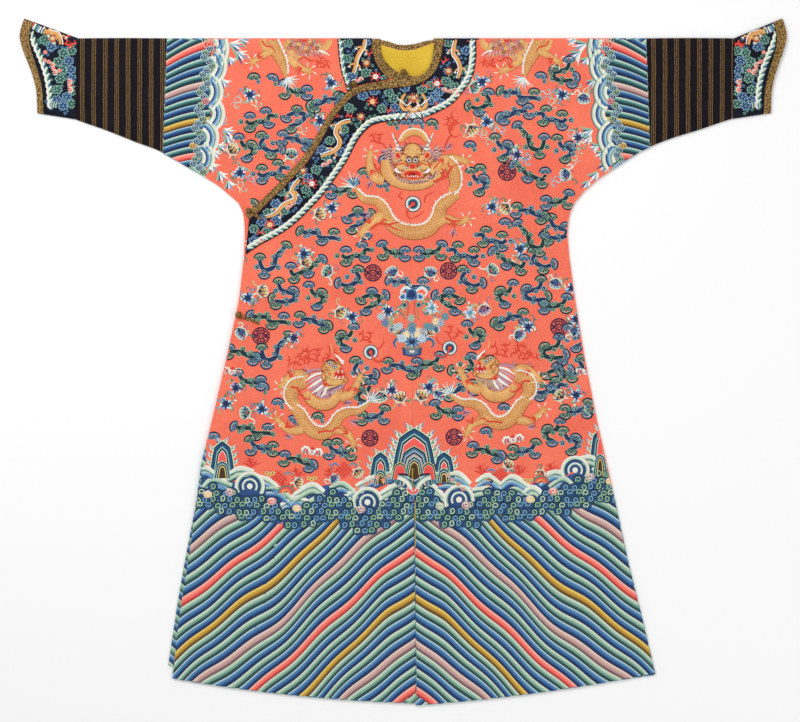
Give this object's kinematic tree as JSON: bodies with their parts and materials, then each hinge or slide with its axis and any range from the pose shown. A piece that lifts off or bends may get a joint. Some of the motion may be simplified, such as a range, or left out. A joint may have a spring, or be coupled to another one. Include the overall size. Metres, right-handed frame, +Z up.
{
  "type": "dragon robe laid flat",
  "caption": "Side-closing court robe with striped sleeves and horse-hoof cuffs, laid flat on its back.",
  "frame": {"origin": "on the surface the robe lies on, under the middle of its box", "axes": "+X towards the wearer's left sleeve, +Y towards the collar, +Z up off the surface"},
  "size_m": [1.6289, 1.4631, 0.0183],
  "materials": {
    "coral_satin": "coral silk satin with embroidery",
    "navy_satin": "navy silk satin with embroidery",
    "striped_sleeve": "dark silk with fine gold stripes",
    "gold_brocade": "gold-brown brocade with dark flecks",
    "yellow_lining": "plain yellow silk",
    "brass": "dull darkened brass"
  },
  "bodies": {
    "root": {"body_left": "coral_satin", "body_right": "coral_satin", "front_overlap": "coral_satin", "sleeve_extension_left": "striped_sleeve", "sleeve_extension_right": "striped_sleeve", "cuff_left": "navy_satin", "cuff_right": "navy_satin", "cuff_binding_left": "gold_brocade", "cuff_binding_right": "gold_brocade", "neck_binding": "gold_brocade", "collar_band_outer": "navy_satin", "collar_band_shoulder": "navy_satin", "neck_lining": "yellow_lining", "button_neck": "brass", "button_chest": "brass", "button_underarm": "brass", "button_hip": "brass", "button_loop_neck": "gold_brocade", "button_loop_chest": "gold_brocade", "button_loop_underarm": "gold_brocade", "button_loop_hip": "gold_brocade"}
  },
  "joints": []
}
